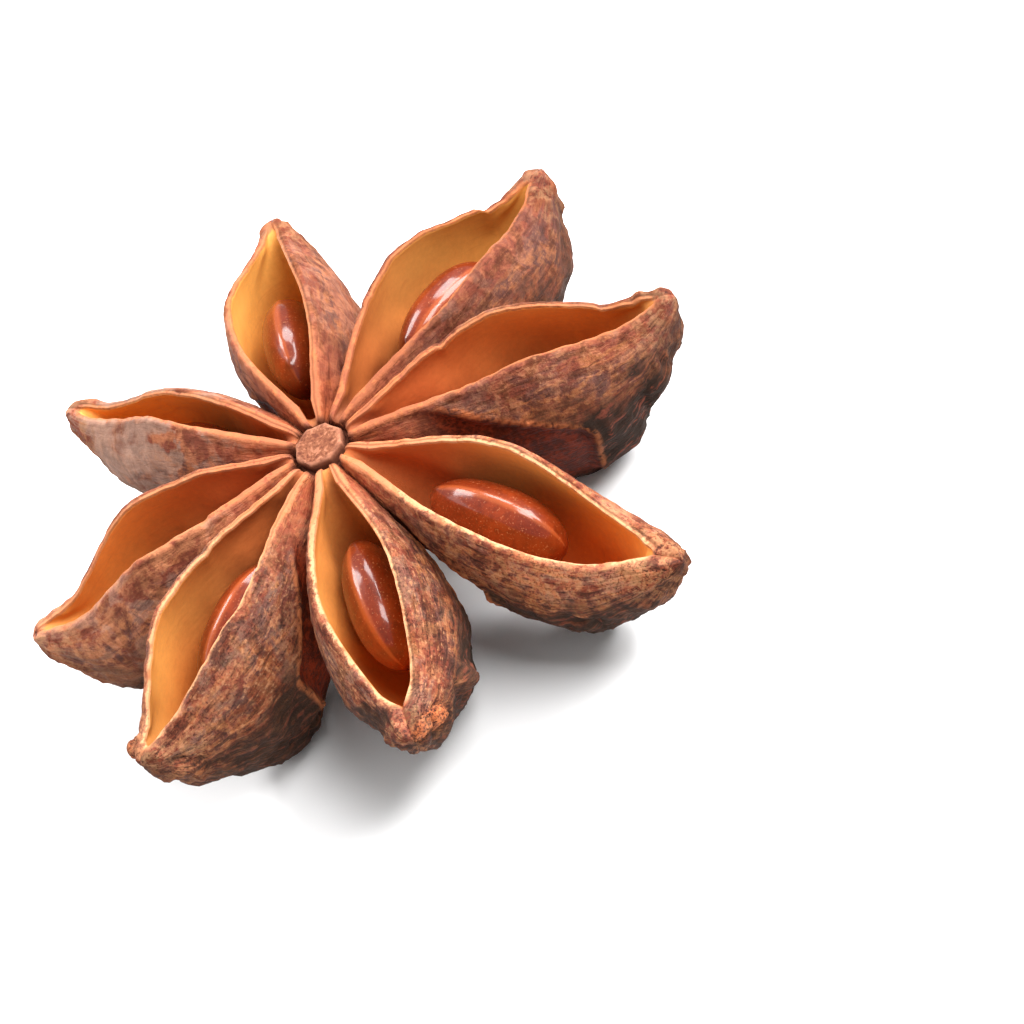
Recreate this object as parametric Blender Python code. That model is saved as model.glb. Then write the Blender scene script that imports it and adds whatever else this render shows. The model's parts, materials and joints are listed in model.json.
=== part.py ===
# Star anise: a dried fruit of eight boat-shaped follicles grown round a short column.
# Each follicle holds one loose seed.
# Metres, +Z up. The fruit lies with its slits up and rests on its three lowest keels.
# The origin is at the middle of the fruit's box, on the surface that it lies on.

import math
from collections import namedtuple

import bmesh
import bpy
from mathutils import Vector, noise

# One row for each follicle, clockwise seen from above.
# turn: degrees from +X. reach: column axis to beak. bow: sideways bend at the middle, anticlockwise.
# slit: half the widest opening between the lips, at widest along (0 at the column, 1 at the beak).
# crest, tip: height of the lips above the column top, at their crest and at the beak. fall: where they drop.
# keel: depth of the keel below that top, deepest at lowest along, then rising to the beak by the power full.
# girth: half the body's width. nose, beak: half the width and the height of its outer end.
# seed_out: middle of the seed from the column axis. seed_deep: its top below the lips. seed_size: its scale.
# press_left, press_right: where the flats end that the anticlockwise and clockwise neighbours pressed.
Follicle = namedtuple(
    "Follicle",
    "turn reach bow slit widest crest tip fall keel lowest full girth nose beak"
    " seed_out seed_deep seed_size press_left press_right",
)
FOLLICLES = (
    Follicle(
        turn=73.7, reach=0.0186, bow=0.0008, slit=0.0018, widest=0.48, crest=0.0003, tip=-0.0017, fall=0.55,
        keel=0.0106, lowest=0.58, full=2.1, girth=0.0033, nose=0.0005, beak=0.0011,
        seed_out=0.0100, seed_deep=0.0013, seed_size=0.96, press_left=0.45, press_right=0.45,
    ),
    Follicle(
        turn=26.2, reach=0.0193, bow=0.0001, slit=0.0023, widest=0.50, crest=0.0004, tip=-0.0019, fall=0.50,
        keel=0.0091, lowest=0.66, full=2.6, girth=0.0035, nose=0.0010, beak=0.0013,
        seed_out=0.0100, seed_deep=0.0012, seed_size=1.00, press_left=0.48, press_right=0.50,
    ),
    Follicle(
        turn=-13.9, reach=0.0183, bow=0.0002, slit=0.0017, widest=0.48, crest=0.0003, tip=-0.0020, fall=0.49,
        keel=0.0105, lowest=0.58, full=1.6, girth=0.0035, nose=0.0006, beak=0.0015,
        seed_out=0.0097, seed_deep=0.0031, seed_size=0.92, press_left=0.48, press_right=0.62,
    ),
    Follicle(
        turn=-61.0, reach=0.0201, bow=-0.0002, slit=0.0021, widest=0.50, crest=0.0003, tip=-0.0027, fall=0.39,
        keel=0.0100, lowest=0.62, full=1.4, girth=0.0032, nose=0.0006, beak=0.0010,
        seed_out=0.0095, seed_deep=0.0012, seed_size=0.99, press_left=0.50, press_right=0.46,
    ),
    Follicle(
        turn=-104.9, reach=0.0180, bow=0.0, slit=0.0017, widest=0.53, crest=0.0005, tip=-0.0013, fall=0.49,
        keel=0.0097, lowest=0.56, full=1.1, girth=0.0033, nose=0.0011, beak=0.0015,
        seed_out=0.0085, seed_deep=0.0014, seed_size=0.95, press_left=0.46, press_right=0.50,
    ),
    Follicle(
        turn=-152.6, reach=0.0175, bow=-0.0002, slit=0.0019, widest=0.53, crest=0.0004, tip=-0.0015,
        fall=0.55, keel=0.0106, lowest=0.56, full=1.8, girth=0.0036, nose=0.0012, beak=0.0013,
        seed_out=0.0091, seed_deep=0.0015, seed_size=1.00, press_left=0.54, press_right=0.48,
    ),
    Follicle(
        turn=165.6, reach=0.0175, bow=0.0001, slit=0.0016, widest=0.47, crest=0.0005, tip=-0.0025, fall=0.49,
        keel=0.0100, lowest=0.64, full=2.5, girth=0.0034, nose=0.0006, beak=0.0015,
        seed_out=0.0096, seed_deep=0.0028, seed_size=0.92, press_left=0.48, press_right=0.48,
    ),
    Follicle(
        turn=120.0, reach=0.0184, bow=-0.0001, slit=0.0006, widest=0.42, crest=0.0003, tip=-0.0019, fall=0.48,
        keel=0.0094, lowest=0.58, full=2.1, girth=0.0027, nose=0.0008, beak=0.0013,
        seed_out=0.0095, seed_deep=0.0021, seed_size=0.78, press_left=0.45, press_right=0.45,
    ),
)

AXIS = Vector((-0.0004, -0.0001, 0))  # foot of the column's axis
COLUMN_TOP = 0.0103  # above the surface; keels that reach deeper are worn flat there
COLUMN_RADIUS = 0.00130  # at its top
FOLLICLE_START = 0.00150  # where the follicles begin, a fine crack away from the column's top
ROOT_DROP = 0.0001  # how far the lips dip at the column
COLUMN_WIDE = 0.0021  # radius of the column under the follicles' roots
COLUMN_SIDES = 24
STALK_RADIUS = 0.0009
STALK_END = 0.0075  # depth of the stalk's broken end
STALK_LEAN = 0.0006  # how far that end stands off the axis
FUSED = 0.00012  # how far a follicle's wall reaches into its neighbour's
SLIT_LEAST = 0.00010  # half the suture's width where the lips close
SLIT_POWER = 1.6  # above 1, the slit narrows to a point at both ends
GROOVE = 0.00012  # least depth of the slit, at the closed beak
LIP_THICK = 0.00042
WALL = 0.00068
KEEL_WALL = 0.0011
KEEL_START = 0.0044  # depth of the keel at the column
ROOT_EXTRA = 0.0006  # added to half the body's width where it leaves the column
BOW_AT = 0.55  # where a follicle's bend is greatest
GIRTH_AT = 0.52  # where it is widest along its length
WIDE_AT = 0.36  # and down its side, from 0 at the lip to 1 at the keel
KEEL_ROUND = 1.9
KEEL_POWER = 0.8
SINK_POWER = 1.2
PRESS_BLEND = 0.0005  # rounding between the free wall and the part pressed flat by the neighbour
FACET_DEEP = 0.00038  # hollow of the flat in the lower wall, where it dried against its neighbour
FACET_EDGE = 0.0007  # width of the slope into that flat
FACET_TOP = 0.43  # share of the way down where it begins at its outer end
FACET_SLOPE = 1.05  # how much higher it begins nearer the column
FACET_TUCK = 0.12  # how far its outer end leans back towards the keel
FACET_CORNER = 0.0010  # rounding of its upper outer corner
LUMP = 0.00030  # height and size of the wall's dried swellings
LUMP_SIZE = 0.0022
LUMPS_ALONG = 9.0
LUMP_STRIDE = Vector((17.3, 0, 0))  # between one follicle's lumps and the next one's

STATIONS = 18
CROWDED = 0.55  # share of the stations' spacing that crowds them at both ends
OUTER_STEPS = 7
INNER_STEPS = 5

SEED_LENGTH = 0.0074
SEED_HEIGHT = 0.0046
SEED_THICK = 0.0033
SEED_LEAN = math.radians(14)  # the outer end lies lower
SEED_RIDGE = 0.00016
SEED_BLUNT = 0.07  # how much fuller the outer end is
SEED_RINGS = 11
SEED_SIDES = 16

HUSK_LOOK = ("husk_brown", (0.24, 0.085, 0.040), 0.75)
SEED_LOOK = ("seed_brown", (0.27, 0.060, 0.018), 0.16)


def clear_scene():
    for obj in list(bpy.data.objects):
        bpy.data.objects.remove(obj)


def ease(value, low, high):
    # 0 at low, 1 at high, smooth between them.
    share = min(1.0, max(0.0, (value - low) / (high - low)))
    return share * share * (3 - 2 * share)


def material(look):
    name, colour, roughness = look
    made = bpy.data.materials.new(name)
    made.use_nodes = True
    shader = made.node_tree.nodes["Principled BSDF"]
    shader.inputs["Base Color"].default_value = (*colour, 1.0)
    shader.inputs["Roughness"].default_value = roughness
    shader.inputs["Metallic"].default_value = 0.0
    return made


def half_gaps(index):
    # Half the angle to the neighbour on each side: anticlockwise, then clockwise.
    turn = FOLLICLES[index].turn
    before = FOLLICLES[index - 1].turn
    after = FOLLICLES[(index + 1) % len(FOLLICLES)].turn
    return [math.radians((gap % 360) / 2) for gap in (before - turn, turn - after)]


def hump(along, peak):
    # 0 at both ends, 1 at peak.
    return max(0.0, math.sin(math.pi * min(1.0, along) ** (math.log(0.5) / math.log(peak))))


def lip_spread(fol, along):
    return SLIT_LEAST + fol.slit * hump(along, fol.widest) ** SLIT_POWER


def lip_height(fol, along):
    rise = fol.crest * ease(along, 0.0, 0.30) - ROOT_DROP * (1 - ease(along, 0.0, 0.05))
    drop = (fol.tip - fol.crest) * ease(along, fol.fall, fol.fall + 0.40)
    return COLUMN_TOP + rise + drop


def keel_height(fol, along):
    if along < fol.lowest:
        sink = math.sin(math.pi / 2 * along / fol.lowest) ** SINK_POWER
        return COLUMN_TOP - KEEL_START - (fol.keel - KEEL_START) * sink
    climb = ((along - fol.lowest) / (1 - fol.lowest)) ** fol.full
    return COLUMN_TOP - fol.keel + (fol.keel + fol.tip - fol.beak) * climb


def body_spread(fol, along):
    free = fol.girth * hump(along, GIRTH_AT) ** 0.7 + ROOT_EXTRA * (1 - ease(along, 0.0, 0.3))
    return max(free, fol.nose * math.sqrt(1 - 0.9 * ease(along, 0.93, 1.0) ** 2))


def soft_min(first, second, blend):
    near = max(0.0, blend - abs(first - second)) / blend
    return min(first, second) - near * near * blend / 4


def pressed(fol, along, down, end):
    # How far inside the neighbour's flat, measured round its upper outer corner; below 0 outside it.
    full = lip_height(fol, along) - keel_height(fol, along)
    below = (down - FACET_TOP + FACET_SLOPE * (end - along)) * full
    within = (end - FACET_TUCK * (down - FACET_TOP) - along) * fol.reach
    if below < FACET_CORNER and within < FACET_CORNER:
        return FACET_CORNER - math.hypot(FACET_CORNER - below, FACET_CORNER - within)
    return min(below, within)


def outer_spread(fol, along, down, flank, end):
    # Half the follicle's outer width at a share of the way down from lip to keel.
    # flank: distance from the follicle's middle line to where its neighbour's wall begins.
    # end: share of the length where the neighbour's flat ends.
    body = body_spread(fol, along)
    lip = min(lip_spread(fol, along) + LIP_THICK, body)
    if down < WIDE_AT:
        free = lip + (body - lip) * math.sin(math.pi / 2 * down / WIDE_AT)
    else:
        free = body * max(0.0, 1 - ((down - WIDE_AT) / (1 - WIDE_AT)) ** KEEL_ROUND) ** KEEL_POWER
    facet = FACET_DEEP * ease(pressed(fol, along, down, end), 0.0, FACET_EDGE)
    facet *= ease(along, 0.15, 0.30) * (1 - ease(down, 0.80, 0.95))
    return max(0.0, soft_min(free, flank, PRESS_BLEND) - facet)


def inner_spread(fol, along, down, deep, flank, end):
    full = lip_height(fol, along) - keel_height(fol, along)
    outer = outer_spread(fol, along, down * deep / full, flank, end)
    wall = min(LIP_THICK + (WALL - LIP_THICK) * ease(down, 0.0, 0.3), 0.6 * outer)
    return max(SLIT_LEAST, outer - wall) * math.sqrt(max(0.0, 1 - down**5))


def hollow_depth(fol, along):
    room = lip_height(fol, along) - keel_height(fol, along) - KEEL_WALL
    return GROOVE + (room - GROOVE) * ease(along, -0.02, 0.26) * (1 - ease(along, 0.72, 0.97))


def lump(index, along, across, height):
    # Dried swelling of the wall, strongest low down and towards the beak.
    spot = Vector((along * LUMPS_ALONG, across / LUMP_SIZE, height / LUMP_SIZE))
    return LUMP * noise.noise(spot + index * LUMP_STRIDE)


def even_steps(count):
    return [(1 - math.cos(math.pi * k / count)) / 2 for k in range(count + 1)]


def section(index, along):
    # (across, height) of the closed outline at one station: outside from lip to lip, then inside and back.
    fol = FOLLICLES[index]
    lip, keel = lip_height(fol, along), keel_height(fol, along)
    deep = hollow_depth(fol, along)
    shift = fol.bow * hump(along, BOW_AT)
    radius = FOLLICLE_START + (fol.reach - FOLLICLE_START) * along
    outside, inside = {}, {}
    for side, gap, end in zip((1, -1), half_gaps(index), (fol.press_left, fol.press_right)):
        flank = radius * math.tan(gap) + FUSED - side * shift
        outside[side], inside[side] = [], []
        for down in even_steps(OUTER_STEPS):
            across = shift + side * outer_spread(fol, along, down, flank, end)
            height = lip + (keel - lip) * down
            rough = ease(down, 0.15, 0.5) * ease(along, 0.25, 0.6) * (1 - ease(along, 0.96, 1.0))
            swell = rough * lump(index, along, across, height)
            outside[side].append((across + side * swell * (1 - down), height - swell * down))
        for down in even_steps(INNER_STEPS):
            across = shift + side * inner_spread(fol, along, down, deep, flank, end)
            inside[side].append((across, lip - deep * down))
    return outside[1] + outside[-1][-2::-1] + inside[-1] + inside[1][-2::-1]


def follicle(index):
    fol = FOLLICLES[index]
    turn = math.radians(fol.turn)
    shape = bmesh.new()
    rings = []
    for step in range(STATIONS + 1):
        even = step / STATIONS
        along = (1 - CROWDED) * even + CROWDED * (1 - math.cos(math.pi * even)) / 2
        radius = FOLLICLE_START + (fol.reach - FOLLICLE_START) * along
        ring = []
        for across, height in section(index, along):
            x = radius * math.cos(turn) - across * math.sin(turn)
            y = radius * math.sin(turn) + across * math.cos(turn)
            ring.append(shape.verts.new(AXIS + Vector((x, y, height))))
        rings.append(ring)
    for near, far in zip(rings, rings[1:]):
        for k, corner in enumerate(near):
            after = (k + 1) % len(near)
            shape.faces.new((corner, near[after], far[after], far[k]))
    shape.faces.new(rings[0][::-1])
    shape.faces.new(rings[-1])
    bmesh.ops.recalc_face_normals(shape, faces=shape.faces)
    bmesh.ops.triangulate(shape, faces=shape.faces)
    mesh = bpy.data.meshes.new("follicle")
    shape.to_mesh(mesh)
    shape.free()
    return bpy.data.objects.new("follicle", mesh)


def column():
    # Depth below the column's top and radius, from the eight-sided top to the broken end of the stalk.
    top = (
        (0.00010, COLUMN_RADIUS * 0.5),
        (0.00005, COLUMN_RADIUS * 0.93),
        (0.00015, COLUMN_RADIUS),
        (0.00080, COLUMN_RADIUS),
    )
    below = (
        (0.0011, COLUMN_WIDE * 0.9),
        (0.0040, COLUMN_WIDE),
        (0.0049, COLUMN_WIDE * 0.85),
        (0.0054, STALK_RADIUS * 1.2),
        (0.0064, STALK_RADIUS),
        (STALK_END, STALK_RADIUS * 0.95),
    )
    eighth = math.pi / 4
    shape = bmesh.new()
    rings = []
    for deep, radius in top + below:
        lean = STALK_LEAN * ease(deep, 0.005, STALK_END)
        ring = []
        for k in range(COLUMN_SIDES):
            angle = 2 * math.pi * k / COLUMN_SIDES
            edge = radius
            if deep < below[0][0]:
                edge *= math.cos(eighth / 2) / math.cos(angle % eighth - eighth / 2)
            spot = Vector((edge * math.cos(angle) + lean, edge * math.sin(angle), COLUMN_TOP - deep))
            ring.append(shape.verts.new(AXIS + spot))
        rings.append(ring)
    for upper, lower in zip(rings, rings[1:]):
        for k, corner in enumerate(upper):
            after = (k + 1) % COLUMN_SIDES
            shape.faces.new((corner, lower[k], lower[after], upper[after]))
    shape.faces.new(rings[0])
    shape.faces.new(rings[-1][::-1])
    bmesh.ops.recalc_face_normals(shape, faces=shape.faces)
    mesh = bpy.data.meshes.new("husk")
    shape.to_mesh(mesh)
    shape.free()
    return bpy.data.objects.new("husk", mesh)


def wear_flat(mesh):
    # Cuts off what lies below the surface, which leaves a small flat on each of the lowest keels.
    shape = bmesh.new()
    shape.from_mesh(mesh)
    everything = shape.verts[:] + shape.edges[:] + shape.faces[:]
    bmesh.ops.bisect_plane(
        shape, geom=everything, dist=1e-7, plane_co=(0, 0, 0), plane_no=(0, 0, -1), clear_outer=True
    )
    rim = [edge for edge in shape.edges if edge.is_boundary]
    bmesh.ops.holes_fill(shape, edges=rim)
    bmesh.ops.recalc_face_normals(shape, faces=shape.faces)
    shape.to_mesh(mesh)
    shape.free()


def husk():
    body = column()
    bpy.context.scene.collection.objects.link(body)
    grown = bpy.data.collections.new("follicles")
    bpy.context.scene.collection.children.link(grown)
    for index in range(len(FOLLICLES)):
        grown.objects.link(follicle(index))
    join = body.modifiers.new("grow together", "BOOLEAN")
    join.operation = "UNION"
    join.operand_type = "COLLECTION"
    join.collection = grown
    join.solver = "EXACT"
    bpy.context.view_layer.update()
    whole = body.evaluated_get(bpy.context.evaluated_depsgraph_get())
    mesh = bpy.data.meshes.new_from_object(whole)
    body.modifiers.clear()
    body.data = mesh
    wear_flat(mesh)
    for obj in list(grown.objects):
        bpy.data.objects.remove(obj)
    bpy.data.collections.remove(grown)
    mesh.materials.clear()
    mesh.materials.append(material(HUSK_LOOK))
    mesh.shade_smooth()
    mesh.set_sharp_from_angle(angle=math.radians(50))
    return body


def seed_mesh(name, size):
    # A flattened egg on its edge, its length along X and its ridge up, blunter at the outer end.
    shape = bmesh.new()
    rings = []
    for step in range(1, SEED_RINGS):
        place = -math.cos(math.pi * step / SEED_RINGS)
        girth = (1 - abs(place) ** 2.3) ** 0.55 * (1 + SEED_BLUNT * place)
        ring = []
        for k in range(SEED_SIDES):
            angle = 2 * math.pi * k / SEED_SIDES
            ridge = SEED_RIDGE * max(0.0, math.sin(angle)) ** 40 * girth
            across = SEED_THICK / 2 * girth * math.cos(angle)
            height = SEED_HEIGHT / 2 * girth * math.sin(angle) + ridge
            ring.append(shape.verts.new(Vector((SEED_LENGTH / 2 * place, across, height)) * size))
        rings.append(ring)
    for near, far in zip(rings, rings[1:]):
        for k, corner in enumerate(near):
            after = (k + 1) % SEED_SIDES
            shape.faces.new((corner, far[k], far[after], near[after]))
    for ring, end in ((rings[0], -1), (rings[-1], 1)):
        point = shape.verts.new((end * SEED_LENGTH / 2 * size, 0, 0))
        for k, corner in enumerate(ring):
            shape.faces.new((corner, ring[(k + 1) % SEED_SIDES], point))
    bmesh.ops.recalc_face_normals(shape, faces=shape.faces)
    mesh = bpy.data.meshes.new(name)
    shape.to_mesh(mesh)
    shape.free()
    mesh.shade_smooth()
    return mesh


def seeds():
    brown = material(SEED_LOOK)
    for number, fol in enumerate(FOLLICLES, start=1):
        name = f"seed_{number}"
        turn = math.radians(fol.turn)
        along = (fol.seed_out - FOLLICLE_START) / (fol.reach - FOLLICLE_START)
        shift = fol.bow * hump(along, BOW_AT)
        seed = bpy.data.objects.new(name, seed_mesh(name, fol.seed_size))
        seed.data.materials.append(brown)
        x = fol.seed_out * math.cos(turn) - shift * math.sin(turn)
        y = fol.seed_out * math.sin(turn) + shift * math.cos(turn)
        height = lip_height(fol, along) - fol.seed_deep - SEED_HEIGHT / 2 * fol.seed_size
        seed.location = AXIS + Vector((x, y, height))
        seed.rotation_euler = (0, SEED_LEAN, turn)
        bpy.context.scene.collection.objects.link(seed)


clear_scene()
husk()
seeds()
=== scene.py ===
import json
import math

import bmesh
import bpy
import numpy as np
from mathutils import Matrix, Vector, noise
from mathutils.kdtree import KDTree

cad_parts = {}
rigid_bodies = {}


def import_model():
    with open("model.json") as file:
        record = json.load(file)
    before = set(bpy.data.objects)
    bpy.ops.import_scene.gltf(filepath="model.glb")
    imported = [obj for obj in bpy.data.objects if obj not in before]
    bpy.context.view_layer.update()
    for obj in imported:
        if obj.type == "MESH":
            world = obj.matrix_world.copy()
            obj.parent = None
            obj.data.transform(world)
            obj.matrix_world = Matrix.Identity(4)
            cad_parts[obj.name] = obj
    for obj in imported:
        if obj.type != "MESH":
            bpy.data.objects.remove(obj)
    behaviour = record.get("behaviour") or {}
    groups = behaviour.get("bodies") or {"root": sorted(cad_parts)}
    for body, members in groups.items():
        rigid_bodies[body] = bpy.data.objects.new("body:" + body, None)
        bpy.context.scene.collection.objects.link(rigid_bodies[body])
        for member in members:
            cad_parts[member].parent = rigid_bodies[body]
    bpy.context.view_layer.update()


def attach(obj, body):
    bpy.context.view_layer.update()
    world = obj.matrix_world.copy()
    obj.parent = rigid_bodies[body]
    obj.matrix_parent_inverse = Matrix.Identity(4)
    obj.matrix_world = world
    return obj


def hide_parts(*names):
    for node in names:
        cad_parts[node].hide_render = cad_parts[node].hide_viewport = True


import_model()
mm = 0.001


def addObject(name, data):
    made = bpy.data.objects.new(name, data)
    bpy.context.scene.collection.objects.link(made)
    return made


# what every pod shares, in mm or as shares of its length and height; heights count from the column's top
star = dict(
    axis=(-0.4, -0.1), columnTop=10.3, podStart=1.50,
    crestBy=0.30, rootDrop=0.06, rootBy=0.05, fallLength=0.40,  # the line of the lips
    slitLeast=0.05, slitPower=1.6, groove=0.12, gape=(-0.02, 0.26), gapeEnd=(0.72, 0.97),  # the slit
    lipThick=0.42, wall=0.68, wallBy=0.3, keelWall=1.1, hollowPower=5,  # the walls and the hollow
    keelStart=4.4, sinkPower=1.2, keelRound=1.9, keelPower=0.8,  # the line and the roundness of the keel
    girthAt=0.52, girthPower=0.7, wideAt=0.36, bowAt=0.55,  # where a pod is widest and where it bends
    fused=0.12, rootExtra=0.6, rootExtraBy=0.3,  # how the roots grow into each other
    noseTaper=0.9, noseFrom=0.93,
    pressBlend=0.5, pressCorner=0.7, pressTop=0.40, pressLean=0.12, pressMiddle=0.45, pressSteep=0.9,
    facetDeep=0.38, facetEdge=0.7, facetKeel=(0.80, 0.95), facetRoot=(0.15, 0.30),  # the pressed flats
    lumpSize=2.2, lumpsAlong=9.0, lumpStride=17.3,  # large swellings
)
centre = np.array([*star["axis"], star["columnTop"]])

# the eight pods, clockwise from the far one; lengths in mm, turns in degrees, places as shares of a pod
podTable = dict(
    turn=(73.7, 26.2, -13.9, -61.0, -104.9, -152.6, 165.6, 120.0),  # round the star's axis
    reach=(18.6, 19.3, 18.3, 20.1, 18.0, 17.5, 17.5, 18.4),  # from the axis to the beak
    bow=(0.8, 0.1, 0.2, -0.2, 0.0, -0.2, 0.1, -0.1),  # how far its middle bends aside
    slit=(1.8, 2.3, 1.7, 2.1, 1.7, 1.9, 1.6, 0.6),  # half the widest gap between the lips
    widest=(0.48, 0.5, 0.48, 0.5, 0.5, 0.53, 0.47, 0.42),  # where that is
    crest=(0.3, 0.4, 0.3, 0.3, 0.5, 0.4, 0.5, 0.3),  # the lips' height at their highest
    tip=(-1.7, -1.9, -2.0, -2.7, -1.3, -1.5, -2.5, -1.9),  # and at the beak
    fall=(0.55, 0.5, 0.49, 0.39, 0.49, 0.55, 0.49, 0.48),  # where they start to fall
    keel=(10.6, 9.1, 10.5, 10.0, 9.7, 10.6, 10.0, 9.4),  # how deep the keel goes
    lowest=(0.58, 0.66, 0.58, 0.62, 0.56, 0.56, 0.64, 0.58),  # where that is
    full=(2.1, 2.6, 1.6, 1.4, 1.1, 1.8, 2.5, 2.1),  # how full its climb to the beak is
    girth=(3.3, 3.5, 3.5, 3.2, 3.3, 3.6, 3.4, 2.7),  # half the width where it is widest
    nose=(0.5, 1.0, 0.6, 0.6, 1.1, 1.2, 0.6, 0.8),  # half the width of the beak's end
    beak=(1.1, 1.3, 1.5, 1.0, 1.5, 1.3, 1.5, 1.3),  # height of the beak's end
    shut=(0.97, 0.94, 0.95, 0.92, 0.885, 0.965, 0.97, 0.95),  # where the slit ends
    press=((0.45, 0.45), (0.48, 0.5), (0.48, 0.62), (0.5, 0.46),  # where the pressed flats end, on both sides
           (0.46, 0.5), (0.54, 0.48), (0.48, 0.48), (0.45, 0.45)),
    seedOut=(10.0, 10.0, 9.7, 9.5, 8.5, 9.1, 9.6, 9.5),  # the seed's distance from the axis
    seedDeep=(1.3, 1.2, 3.1, 1.2, 1.4, 1.5, 2.8, 2.1),  # its depth under the lips
    seedSize=(0.96, 1.0, 0.92, 0.99, 0.95, 1.0, 0.92, 0.78),  # its size
    seamTurn=(0, 26, 0, -2, 16, 0, 0, 0),  # how far its seam is turned
    gold=(1.0, 0.85, 0.62, 0.78, 1.0, 0.82, 0.7, 0.8),  # how yellow the lining is
    grey=(0.36, 0.55, 0.45, 0.33, 0.64, 0.66, 0.5, 1.0),  # how ashy the skin is
    light=(0.6, 0.34, 0.45, 0.9, 0.52, 0.52, 0.9, 0.75),  # how pale it is, partly its own colour and partly painted light and shade
    char=(0.3, 0.85, 1.35, 1.0, 1.0, 0.68, 0.6, 0.4),  # how dark its keel is, partly its own colour and partly painted shade
    lips=(0.3, 0.15, 0.25, 0.9, 0.85, 0.7, 0.4, 0.35),  # how pale the lips are
    flecked=(0.1, 0.2, 0.45, 1.0, 1.0, 0.85, 0.3, 0.0),  # how strong the small specks are
    glow=(0.94, 0.72, 1.08, 1.02, 0.94, 0.9, 1.15, 1.15),  # how bright the lining is, as painted light and shade
    dimEnd=(0.35, 0.06, 0.6, 0.28, 0.0, 0.78, 0.6, 0.28),  # how much painted shade it has at the beak
    dimRoot=(1.0, 1.0, 1.0, 0.25, 0.45, 1.0, 1.0, 1.0),  # and at the column
)
pods = [dict(zip(podTable, row)) for row in zip(*podTable.values())]


def ease(value, low, high):
    # 0 at low and 1 at high, smooth between them
    share = np.clip((value - low) / (high - low), 0, 1)
    return share * share * (3 - 2 * share)


def hump(along, peak):
    # rises from 0 to 1 at the peak and falls to 0 again
    return np.maximum(0, np.sin(np.pi * np.minimum(1, along) ** (math.log(0.5) / math.log(peak))))


def softMin(first, second, blend):
    near = np.maximum(0, blend - np.abs(first - second)) / blend
    return np.minimum(first, second) - near * near * blend / 4


def crowd(count, share):
    # places from 0 to 1 that lie closer together towards both ends
    even = np.linspace(0, 1, count + 1)
    return (1 - share) * even + share * (1 - np.cos(np.pi * even)) / 2


def around(turn, out, aside):
    # x and y of a place in a pod's own directions
    return out * math.cos(turn) - aside * math.sin(turn), out * math.sin(turn) + aside * math.cos(turn)


def halfGaps(index):
    # half the angle to the neighbour on each side, anticlockwise then clockwise
    turns = [pod["turn"] for pod in pods]
    before, after = turns[index - 1], turns[(index + 1) % len(pods)]
    return [math.radians((gap % 360) / 2) for gap in (before - turns[index], turns[index] - after)]


def lipSpread(pod, along):
    return star["slitLeast"] + pod["slit"] * hump(along, pod["widest"]) ** star["slitPower"]


def lipHeight(pod, along):
    rise = pod["crest"] * ease(along, 0, star["crestBy"])
    rise = rise - star["rootDrop"] * (1 - ease(along, 0, star["rootBy"]))
    return rise + (pod["tip"] - pod["crest"]) * ease(along, pod["fall"], pod["fall"] + star["fallLength"])


def keelHeight(pod, along):
    sink = np.sin(np.pi / 2 * np.minimum(1, along / pod["lowest"])) ** star["sinkPower"]
    near = -star["keelStart"] - (pod["keel"] - star["keelStart"]) * sink
    climb = np.clip((along - pod["lowest"]) / (1 - pod["lowest"]), 0, 1) ** pod["full"]
    far = -pod["keel"] + (pod["keel"] + pod["tip"] - pod["beak"]) * climb
    return np.where(along < pod["lowest"], near, far)


def podDepth(pod, along):
    return lipHeight(pod, along) - keelHeight(pod, along)


def bodySpread(pod, along):
    free = pod["girth"] * hump(along, star["girthAt"]) ** star["girthPower"]
    free = free + star["rootExtra"] * (1 - ease(along, 0, star["rootExtraBy"]))
    nose = pod["nose"] * np.sqrt(1 - star["noseTaper"] * ease(along, star["noseFrom"], 1.0) ** 2)
    return np.maximum(free, nose)


def pressedDepth(pod, along, down, end):
    # signed distance in mm into the flat that the neighbour pressed, which ends at that share of the length
    corner = star["pressCorner"]
    full = podDepth(pod, along)
    below = (down - star["pressTop"] + end - along) * full * star["pressSteep"]
    before = (end - star["pressLean"] * (down - star["pressMiddle"]) - along) * pod["reach"]
    both = np.hypot(np.maximum(0, corner - below), np.maximum(0, corner - before))
    inCorner = (below < corner) & (before < corner)
    return np.where(inCorner, corner - both, np.minimum(below, before))


def outerSpread(pod, along, down, flank, end):
    # half the width of a pod at a share of the way down from its lip
    body = bodySpread(pod, along)
    lip = np.minimum(lipSpread(pod, along) + star["lipThick"], body)
    wideAt = star["wideAt"]
    upper = lip + (body - lip) * np.sin(np.pi / 2 * np.minimum(1, down / wideAt))
    drop = np.clip((down - wideAt) / (1 - wideAt), 0, 1) ** star["keelRound"]
    lower = body * np.maximum(0, 1 - drop) ** star["keelPower"]
    free = np.where(down < wideAt, upper, lower)
    facet = star["facetDeep"] * ease(pressedDepth(pod, along, down, end), 0, star["facetEdge"])
    facet = facet * (1 - ease(down, *star["facetKeel"])) * ease(along, *star["facetRoot"])
    return np.maximum(0, softMin(free, flank, star["pressBlend"]) - facet)


def noiseAt(spots, size, offset=0.0):
    # smooth noise of about -1 to 1 at each spot; size is one feature's length in the spots' own unit
    shape = spots.shape[:-1]
    rows = (spots.reshape(-1, 3) / size + np.array([offset, offset * 0.7, -offset * 0.4])).tolist()
    return np.array([noise.noise(row) for row in rows]).reshape(shape)


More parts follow.
